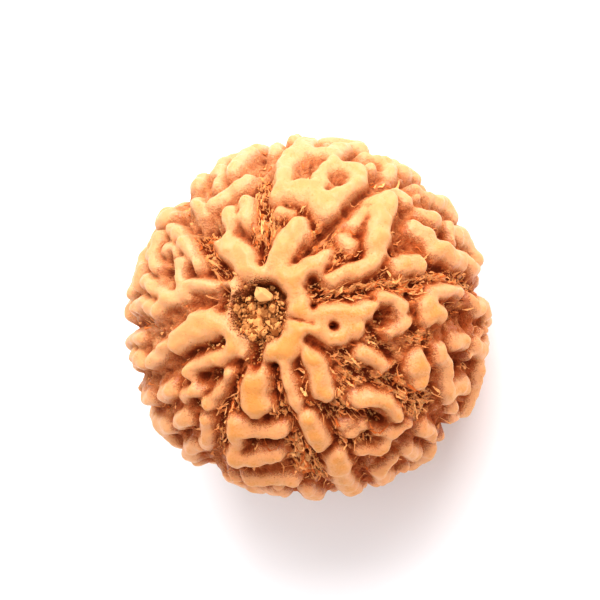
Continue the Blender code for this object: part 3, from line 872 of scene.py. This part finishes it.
class Value:
    """What a node gives out. A sum with numbers or other values adds a Math node."""

    def __init__(self, graph, socket):
        self.graph = graph
        self.socket = socket

    def combined(self, operation, left, right):
        """A Math node of that operation."""
        return self.graph.node("ShaderNodeMath", {"operation": operation}, {0: left, 1: right})

    def __add__(self, other):
        return self.combined("ADD", self, other)

    __radd__ = __add__

    def __sub__(self, other):
        return self.combined("SUBTRACT", self, other)

    def __rsub__(self, other):
        return self.combined("SUBTRACT", other, self)

    def __mul__(self, other):
        return self.combined("MULTIPLY", self, other)

    __rmul__ = __mul__

    def ridged(self):
        """1 where noise about 0.5 is at its middle, so that it comes out as thin lines."""
        return 1 - 2 * self.combined("ABSOLUTE", self - 0.5, 0.0)

    def frayed(self, strengths, *mottling):
        """The value made uneven by noise about 0.5, each with its strength."""
        value = self
        for strength, wave in zip(strengths, mottling):
            value = value + strength * (wave - 0.5)
        return value

    def between(self, least, most):
        """From least, where the value is 0, to most, where it is 1."""
        return least + (most - least) * self

    def rise(self, low, high):
        """A smooth rise from 0 at low to 1 at high."""
        inputs = {"Value": self, "From Min": low, "From Max": high}
        return self.graph.node("ShaderNodeMapRange", {"interpolation_type": "SMOOTHSTEP"}, inputs)


class Finish:
    """A material made node by node."""

    def __init__(self, name):
        self.material = bpy.data.materials.new(name)
        self.material.use_nodes = True
        self.material.node_tree.nodes.clear()

    def node(self, kind, settings=None, inputs=None, output=0):
        """Add a node: its settings come first, then the values and links of its sockets."""
        tree = self.material.node_tree
        made = tree.nodes.new(kind)
        for key, value in (settings or {}).items():
            setattr(made, key, value)
        for key, value in (inputs or {}).items():
            if isinstance(value, Value):
                tree.links.new(value.socket, made.inputs[key])
            else:
                made.inputs[key].default_value = value
        return Value(self, made.outputs[output]) if made.outputs else made

    def stored(self, name, output="Fac"):
        """What the mesh's points carry under that name."""
        return self.node("ShaderNodeAttribute", {"attribute_name": name}, output=output)

    def mottle(self, place, scale, detail):
        """Smooth noise about 0.5."""
        return self.node("ShaderNodeTexNoise", {}, {"Vector": place, "Scale": scale, "Detail": detail})

    def painted(self, under, coats):
        """A colour with coats laid over it one by one. Each coat is its share and its colour."""
        colour = under
        for share, over in coats:
            colour = self.mix(share, colour, over)
        return colour

    def mix(self, share, under, over):
        """One colour laid over another."""
        inputs = {0: share, 6: solid(under), 7: solid(over)}
        return self.node("ShaderNodeMix", {"data_type": "RGBA"}, inputs, output=2)

    def bump(self, height, depth):
        """The normal of a relief of that depth, in metres."""
        return self.node("ShaderNodeBump", {}, {"Height": height, "Distance": depth, "Strength": 1.0})

    def close(self, **inputs):
        """The shader with those inputs, and the output. Returns the material."""
        named = {key.replace("_", " "): value for key, value in inputs.items()}
        shader = self.node("ShaderNodeBsdfPrincipled", {}, named)
        self.node("ShaderNodeOutputMaterial", {}, {"Surface": shader})
        return self.material


def solid(colour):
    """A colour with full alpha, or a node's value as it is."""
    return colour if isinstance(colour, Value) else (*colour, 1.0)


def skin_finish(settings):
    """Waxy knobs with amber patches, a pale film and painted highlights on their tops, red-brown crevices
    with painted shade, and fibrous floors in places.
    """
    finish = Finish("rudraksha_skin")
    place = finish.node("ShaderNodeTexCoord", output="Object")
    knob, dust, pulp, stain, hollow = map(finish.stored, ("knob", "dust", "pulp", "stain", "hollow"))
    broad, patch, grain, speck = (finish.mottle(place, *kind) for kind in (BROAD, PATCH, GRAIN, SPECK))
    streak = finish.mottle(finish.stored("strung", "Vector"), *STREAK).ridged()
    edge = knob.frayed(EDGE_FRAY, patch, grain)
    sunk = hollow.frayed(SUNK_FRAY, patch, grain)

    crown = finish.painted(settings.crown_highlight_colour, [
        (broad.rise(*FILM_PATCHES), settings.film_and_lit_flank_colour),
        # knob tops on the side turned from the key light take the flank colour: painted shade
        (TOP_SHADE_SHARE * stain.rise(*TOP_SHADE), settings.flank_colour),
    ])
    # The flanks take the pale film colour on the lit side and the flank colour on the side turned from the
    # key light: painted light and shade.
    flank = finish.painted(settings.film_and_lit_flank_colour, [
        (stain.rise(*FLANK_SHADE).between(*FLANK_SHARES), settings.flank_colour),
    ])
    # The real waxy amber patches are laid thicker on the side turned from the key light: painted shade.
    waxy = broad.frayed(AMBER_FRAY, patch) + AMBER_BY_SHADE * (stain - AMBER_SHADE_MIDDLE)
    amber = edge.rise(*AMBER_BAND) * waxy.rise(*AMBER_PATCHES)
    # Painted shade at the knobs' feet, in patches, over the crevices' own red-brown.
    foot = (1 - edge.rise(*FOOT_BAND)) * patch.rise(*FOOT_PATCHES)
    stipple = (1 - edge.rise(*STIPPLE_BAND)) * speck.rise(*STIPPLE_DOTS)
    skin = finish.painted(flank, [
        # lighter from the foot up to the crest: painted highlight and shade that round the knobs, over the
        # tops' own paler dry colour
        (edge.rise(*CROWN_HIGHLIGHT_BAND), crown),
        (amber * stain.rise(*AMBER_SHADE).between(*AMBER_SHARES), settings.amber_colour),
        (foot * stain.between(*FOOT_SHARES), settings.outline_shade_colour),
        # the crevices, darker the further they lie below their surroundings: painted shade over their own
        # red-brown
        (sunk.rise(*CREVICE_DEPTHS) * stain.between(*CREVICE_SHARES), settings.outline_shade_colour),
        # the real stipple is laid thicker on the side turned from the key light: painted shade
        (stipple * stain.between(*STIPPLE_SHARES), settings.stipple_colour),
    ])

    # The floor's pulp is painted darker where it dips and paler where it rises: painted shade and highlight
    # over its fibres.
    threads = (THREAD_STREAK * streak - THREAD_SINK * hollow).frayed(THREAD_FRAY, grain, speck)
    floor = finish.painted(settings.deep_shade_colour, [(threads.rise(*THREADS), settings.pulp_colour)])
    fibrous = (1 - edge.rise(*FIBROUS_BAND)) * pulp.frayed(PULP_FRAY, patch).rise(*PULP_PATCHES)
    # A dark band round each knob's outline, in patches: painted shade over the red-brown there.
    rim = edge.rise(*RIM_START) * (1 - edge.rise(*RIM_END)) * patch.rise(*RIM_PATCHES)
    soiled = dust.frayed(DUST_FRAY, grain, speck).rise(*SOILED_PATCHES)
    colour = finish.painted(skin, [
        (fibrous, floor),
        (RIM_SHARE * rim * stain, settings.outline_shade_colour),
        # the deepest hollows: painted shade over the floor's own dark red
        (sunk.rise(*DEEP_DEPTHS) * stain.between(*DEEP_SHARES), settings.deep_shade_colour),
        (soiled, settings.dust_colour),
    ])

    crest = 1 - sunk.rise(*CREST_DEPTHS)
    matted = MATTED * (streak + grain) * fibrous
    rough = ROUGH * grain * (1 - edge.rise(*SMOOTH_BAND))
    return finish.close(
        Base_Color=colour,
        Roughness=(SKIN_ROUGHNESS - CREST_POLISH * crest).frayed(ROUGHNESS_FRAY, grain),
        Normal=finish.bump(matted + rough + FINE_GRAIN * grain + FINE_SPECK * speck, SKIN_BUMP),
        Subsurface_Weight=settings.glow,
        Subsurface_Radius=GLOW_RADIUS,
        Subsurface_Scale=settings.glow_depth,
        Specular_IOR_Level=DRY_GLOSS,
        Coat_Weight=WAX * crest * (1 - soiled),
        Coat_Roughness=WAX_ROUGHNESS,
    )


def shred_finish(name, light, dark):
    """Dry plant matter that goes from one colour to the other from piece to piece and along each."""
    finish = Finish(name)
    grain = finish.mottle(finish.node("ShaderNodeTexCoord", output="Object"), *SHRED)
    share = finish.stored("tone").frayed(TONE_FRAY, grain).rise(0.0, 1.0)
    return finish.close(
        Base_Color=finish.painted(dark, [(share, light)]),
        Roughness=SHRED_ROUGHNESS + SHRED_WAVE * (grain - 0.5),
        Normal=finish.bump(grain, SHRED_BUMP),
        Specular_IOR_Level=DRY_GLOSS,
    )


def onward(points, headings, stride):
    """The unit vectors one stride, in degrees, further along headings from the downward meridian."""
    down = unit(points * points[:, 2:] - [0, 0, 1])
    across = np.cross(points, down)
    way = np.cos(headings)[:, None] * down + np.sin(headings)[:, None] * across
    return unit(points + np.radians(stride)[:, None] * way)


def tint(name, description, default):
    """A setting for a colour."""
    return FloatVectorProperty(
        name=name, description=description, default=default, subtype="COLOR", size=3, min=0, max=1)


def metres(name, description, default, least=0.0):
    """A setting for a length."""
    return FloatProperty(
        name=name, description=description, default=default, min=least, subtype="DISTANCE", unit="LENGTH")


class StoneSettings(PropertyGroup):
    """Colours and depths of the stone's surface."""
    # Painted highlight on the knob tops, over their own dry colour.
    crown_highlight_colour: tint("Knob tops", "Dry tops of the knobs", (0.80, 0.40, 0.18))
    amber_colour: tint("Amber patches", "Waxy patches on the knobs", (0.70, 0.30, 0.07))
    # The pale film colour also paints the lit side of the flanks: painted light.
    film_and_lit_flank_colour: tint("Pale film", "Thin dry film left on the knobs", (0.82, 0.44, 0.22))
    flank_colour: tint("Flanks", "Sides of the knobs", (0.76, 0.325, 0.13))
    # Painted shade at the knobs' feet, round their outlines and in the crevices, over their own red-brown.
    outline_shade_colour: tint("Outlines", "Foot of the knobs and the crevices", (0.45, 0.095, 0.02))
    stipple_colour: tint("Stipple", "Fine dots on the flanks", (0.34, 0.065, 0.014))
    # Painted shade in the floor's dips and deepest hollows, over the floor's own dark red.
    deep_shade_colour: tint("Deep floor", "Bottom of the floor between the knobs", (0.24, 0.035, 0.007))
    pulp_colour: tint("Pulp", "Dried pulp fibres on the floor", (0.95, 0.39, 0.135))
    dust_colour: tint("Dust", "Dark dust round the pole pits", (0.17, 0.04, 0.008))
    glow: FloatProperty(
        name="Glow", description="How much light passes through the skin",
        subtype="FACTOR", min=0, max=1, default=0.4)
    glow_depth: metres("Glow depth", "How far light passes through the skin", 0.0005)


class LooseSettings(PropertyGroup):
    """Fibres, crumbs and the chip in the pit."""
    fibre_tries: IntProperty(
        name="Fibre tries", description="Places tried for a fibre, of which some are on the floor",
        min=100, max=60000, default=16000)
    fibre_length: metres("Fibre length", "Usual length of a fibre", 0.00055, 0.0002)
    fibre_width: metres("Fibre width", "Usual width of a fibre", 0.00008, 0.00001)
    fibre_colour: tint("Light fibres", "Dry fibres that catch the light", (0.95, 0.47, 0.19))
    shade_colour: tint("Dark fibres", "Fibres that lie deep", (0.60, 0.15, 0.033))
    crumb_colour: tint("Light crumbs", "Crumbs that catch the light", (0.81, 0.395, 0.145))
    soil_colour: tint("Dark crumbs", "Crumbs of dark plant matter", (0.24, 0.07, 0.015))
    chip_colour: tint("Chip", "Pale chip in the upper pit", (0.76, 0.43, 0.18))
    chip_length: metres("Chip length", "Longest side of the pale chip", 0.00125, 0.0003)


class StageSettings(PropertyGroup):
    """Floor, light and camera."""
    floor_colour: tint("Floor", "Colour of the floor", (0.93, 0.92, 0.94))
    key_power: FloatProperty(
        name="Key light", description="Power of the large soft light",
        subtype="POWER", unit="POWER", min=0, default=3.0)
    fill: FloatProperty(
        name="Fill", description="Strength of the white light from all round", min=0, default=1.0)
    camera_distance: metres("Camera distance", "From the stone's middle to the camera", 0.26, 0.05)
    frame_width: metres("Frame width", "Width that the camera takes in at the stone", 0.03966, 0.01)


class RUDRAKSHA_OT_surface(Operator):
    """Build the knobbed and furrowed surface in place of the solid"""
    bl_idname = "rudraksha.surface"
    bl_label = "Stone surface"

    def execute(self, context):
        shape = bmesh.new()
        bmesh.ops.create_cube(shape, size=2)
        bmesh.ops.subdivide_edges(shape, edges=shape.edges[:], cuts=CUBE_CUTS, use_grid_fill=True)
        points = unit(np.tan(np.array([vertex.co[:] for vertex in shape.verts]) * math.pi / 4))
        radius, inside = surface(points)
        for vertex, place in zip(shape.verts, placed(points, radius)):
            vertex.co = place
        piece = finished(shape, "stone_surface", skin_finish(context.scene.rudraksha_stone))
        piece.data.shade_smooth()
        hollow = hollowness(piece.data, radius)
        keep_values(piece, knob=inside, dust=dust_share(points), pulp=pulp_share(points))
        # The shade share says where shade is painted: most on the side turned from the key light.
        keep_values(piece, stain=stain_share(points), hollow=hollow, strung=strung_out(points))
        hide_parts(NODE)
        return {"FINISHED"}


class RUDRAKSHA_OT_fibres(Operator):
    """Lay dry fibres in the furrows and between the knobs"""
    bl_idname = "rudraksha.fibres"
    bl_label = "Fibres"

    def execute(self, context):
        settings = context.scene.rudraksha_loose
        draw = np.random.default_rng(SEED)
        points = unit(draw.normal(size=(settings.fibre_tries, 3)))
        _, inside = surface(points)
        bare = draw.random(len(points)) * PULP_MOST > pulp_share(points)
        clear = np.abs(points[:, 2]) < math.cos(math.radians(POLE_CLEARANCE))
        points = points[(inside < FIBRE_FLOOR) & ~bare & clear]
        count = len(points)
        length = settings.fibre_length / MILLIMETRE * draw.uniform(*FIBRE_LENGTHS, count)
        length *= np.where(draw.random(count) < STRAND_SHARE, STRAND_LENGTH, 1.0)
        stride = np.degrees(length / CROWN_RADIUS) / FIBRE_STEPS
        headings = draw.choice((0.0, math.pi), count) + draw.normal(0, math.radians(FIBRE_STRAY), count)
        bend = draw.normal(0, math.radians(FIBRE_BEND), count)
        trail = [points]
        for _ in range(FIBRE_STEPS):
            trail.append(onward(trail[-1], headings, stride))
            headings = headings + bend + draw.normal(0, math.radians(FIBRE_BEND) / 2, count)
        trail = np.stack(trail, axis=1)
        radius, inside = surface(trail.reshape(-1, 3))
        radius, inside = radius.reshape(count, -1), inside.reshape(count, -1)
        lows = np.flatnonzero(inside.max(axis=1) < FIBRE_CLIMB)
        radius = radius[lows] + draw.uniform(*LIFT_SHARES, (len(lows), 1)) * FIBRE_LIFT
        places = placed(trail[lows].reshape(-1, 3), radius.ravel()).reshape(len(lows), -1, 3)
        width = settings.fibre_width * draw.uniform(*FIBRE_WIDTHS, len(lows))
        shape = bmesh.new()
        tone = shape.verts.layers.float.new("tone")
        for path, across in zip(places, width):
            spine = [Vector(place) for place in path]
            ribbon = bmesh.ops.create_grid(shape, x_segments=FIBRE_STEPS, y_segments=1, size=0.5)["verts"]
            lean = Vector(draw.normal(0, RIBBON_LEAN, 3))
            shade = draw.uniform(0.0, 1.0)
            for vertex in ribbon:
                step = round((vertex.co.x + 0.5) * FIBRE_STEPS)
                ahead = spine[min(step + 1, FIBRE_STEPS)] - spine[max(step - 1, 0)]
                out = (spine[step] - Vector((0, 0, REST_HEIGHT * MILLIMETRE))).normalized()
                side = ahead.cross(out + lean).normalized()
                torn = across * draw.uniform(*RIBBON_TEARS) * math.sin(RIBBON_TAPER + step * RIBBON_SPAN)
                vertex.co = spine[step] + side * (2 * vertex.co.y * torn)
                vertex[tone] = shade
        bmesh.ops.solidify(shape, geom=shape.faces[:], thickness=settings.fibre_width * RIBBON_THICKNESS)
        bmesh.ops.recalc_face_normals(shape, faces=shape.faces[:])
        material = shred_finish("rudraksha_fibre", settings.fibre_colour, settings.shade_colour)
        finished(shape, "furrow_fibres", material)
        return {"FINISHED"}


class RUDRAKSHA_OT_crumbs(Operator):
    """Scatter crumbs of plant matter in the pole pits and the hollows"""
    bl_idname = "rudraksha.crumbs"
    bl_label = "Crumbs"

    def execute(self, context):
        settings = context.scene.rudraksha_loose
        draw = np.random.default_rng(SEED + 1)
        shape = bmesh.new()
        tones = []
        for middle, reach, count, size in CRUMB_NESTS:
            scatter = math.radians(reach) * draw.normal(0, CRUMB_SPREAD, (count, 3))
            points = unit(direction(*middle) + scatter)
            radius, inside = surface(points)
            for point, height, field in zip(points, radius, inside):
                scale = size * draw.uniform(*CRUMB_SIZES) * MILLIMETRE / 2
                turn = Matrix.Rotation(draw.uniform(0, 2 * math.pi), 3, Vector(draw.normal(size=3)))
                stretch = Vector(draw.uniform(*CRUMB_STRETCHES, 3))
                tone = draw.random()
                if field > CRUMB_CLIMB:
                    continue
                place = Vector(placed(point[None, :], [height + CRUMB_LIFT * scale / MILLIMETRE])[0])
                crumb = bmesh.ops.create_icosphere(shape, subdivisions=1, radius=1.0)["verts"]
                for vertex in crumb:
                    jolt = Vector(draw.uniform(-CRUMB_JOLT, CRUMB_JOLT, 3))
                    vertex.co = turn @ Vector((vertex.co + jolt) * stretch) * scale + place
                    vertex.co.z = max(vertex.co.z, 0.0)
                tones += [tone] * len(crumb)
        material = shred_finish("rudraksha_crumb", settings.crumb_colour, settings.soil_colour)
        piece = finished(shape, "pit_crumbs", material)
        keep_values(piece, tone=np.array(tones))
        return {"FINISHED"}


class RUDRAKSHA_OT_chip(Operator):
    """Set the pale chip in the upper pit"""
    bl_idname = "rudraksha.chip"
    bl_label = "Pale chip"

    def execute(self, context):
        settings = context.scene.rudraksha_loose
        middle = direction(*CHIP_MIDDLE)[None, :]
        radius, _ = surface(middle)
        shape = bmesh.new()
        bmesh.ops.create_cube(shape, size=1.0)
        for point, normal in CHIP_CUTS:
            parts = shape.verts[:] + shape.edges[:] + shape.faces[:]
            cut = bmesh.ops.bisect_plane(
                shape, geom=parts, plane_co=point, plane_no=normal, clear_outer=True)
            rim = [part for part in cut["geom_cut"] if isinstance(part, bmesh.types.BMEdge)]
            bmesh.ops.holes_fill(shape, edges=rim)
        bmesh.ops.bevel(
            shape, geom=shape.verts[:] + shape.edges[:], offset=CHIP_BEVEL, offset_type="OFFSET",
            segments=CHIP_BEVEL_STEPS, profile=0.5, affect="EDGES", material=-1)
        bmesh.ops.triangulate(shape, faces=shape.faces[:])
        bmesh.ops.recalc_face_normals(shape, faces=shape.faces[:])
        spot = placed(middle, radius + CHIP_LIFT)[0]
        tilt = Matrix.Rotation(math.radians(CHIP_TILT), 4, "X")
        turn = Matrix.Rotation(math.radians(CHIP_TURN), 4, "Z") @ tilt
        size = Matrix.Diagonal((*(settings.chip_length * share for share in CHIP_SHARES), 1.0))
        shape.transform(Matrix.Translation(spot) @ turn @ size)
        material = shred_finish("rudraksha_chip", settings.chip_colour, settings.fibre_colour)
        piece = finished(shape, "pole_chip", material)
        keep_values(piece, tone=np.full(len(piece.data.vertices), CHIP_TONE))
        return {"FINISHED"}


def aim(name, data, centre, way, away):
    """A light or camera that looks at the centre from that far away, with +Y upwards."""
    back = Vector(way).normalized()
    right = Vector((0, 1, 0)).cross(back).normalized()
    turned = Matrix((right, back.cross(right), back)).transposed().to_4x4()
    turned.translation = centre + back * away
    thing = linked(name, data)
    thing.matrix_world = turned
    return thing


class RUDRAKSHA_OT_stage(Operator):
    """Set the pale floor, the soft light and the camera"""
    bl_idname = "rudraksha.stage"
    bl_label = "Stage"

    def execute(self, context):
        scene = context.scene
        settings = scene.rudraksha_stage
        shape = bmesh.new()
        bmesh.ops.create_grid(shape, x_segments=1, y_segments=1, size=FLOOR_SIZE / 2)
        paper = Finish("stage_floor").close(
            Base_Color=(*settings.floor_colour, 1.0), Roughness=FLOOR_ROUGHNESS)
        floor = modelled(shape, "floor", paper)
        centre = Vector((0, 0, REST_HEIGHT * MILLIMETRE))
        lamp = bpy.data.lights.new("key", "AREA")
        lamp.energy = settings.key_power
        lamp.size = KEY_SIZE
        aim("key", lamp, centre, KEY_DIRECTION, KEY_DISTANCE)
        camera = bpy.data.cameras.new("camera")
        camera.lens = camera.sensor_width * settings.camera_distance / settings.frame_width
        camera.shift_x, camera.shift_y = CAMERA_SHIFT
        camera.clip_start = NEAREST_SEEN
        scene.camera = aim("camera", camera, centre, CAMERA_DIRECTION, settings.camera_distance)
        world = bpy.data.worlds.new("studio")
        world.use_nodes = True
        background = world.node_tree.nodes["Background"]
        background.inputs["Color"].default_value = (1.0, 1.0, 1.0, 1.0)
        background.inputs["Strength"].default_value = settings.fill
        scene.world = world
        scene.view_settings.view_transform = "Standard"
        scene.view_settings.gamma = VIEW_GAMMA
        return {"FINISHED"}


SETTINGS = {
    "rudraksha_stone": StoneSettings,
    "rudraksha_loose": LooseSettings,
    "rudraksha_stage": StageSettings,
}
OPERATORS = [
    RUDRAKSHA_OT_surface, RUDRAKSHA_OT_fibres, RUDRAKSHA_OT_crumbs, RUDRAKSHA_OT_chip, RUDRAKSHA_OT_stage,
]


class RUDRAKSHA_PT_panel(Panel):
    """Lists the stone's pieces and their settings"""
    bl_label = "Rudraksha"
    bl_idname = "RUDRAKSHA_PT_panel"
    bl_space_type = "VIEW_3D"
    bl_region_type = "UI"
    bl_category = "Rudraksha"

    def draw(self, context):
        for name, kind in SETTINGS.items():
            box = self.layout.box()
            for setting in kind.__annotations__:
                box.prop(getattr(context.scene, name), setting)
        for operator in OPERATORS:
            self.layout.operator(operator.bl_idname)


CLASSES = [*SETTINGS.values(), *OPERATORS, RUDRAKSHA_PT_panel]


def register():
    """Make the classes and the settings known."""
    for kind in CLASSES:
        bpy.utils.register_class(kind)
    for name, kind in SETTINGS.items():
        setattr(bpy.types.Scene, name, PointerProperty(type=kind))


def unregister():
    """Take the classes and the settings out again."""
    for name in SETTINGS:
        delattr(bpy.types.Scene, name)
    for kind in reversed(CLASSES):
        bpy.utils.unregister_class(kind)


def main():
    """Build every piece."""
    register()
    bpy.ops.rudraksha.stage()
    bpy.ops.rudraksha.surface()
    bpy.ops.rudraksha.fibres()
    bpy.ops.rudraksha.crumbs()
    bpy.ops.rudraksha.chip()


if __name__ == "__main__":
    main()
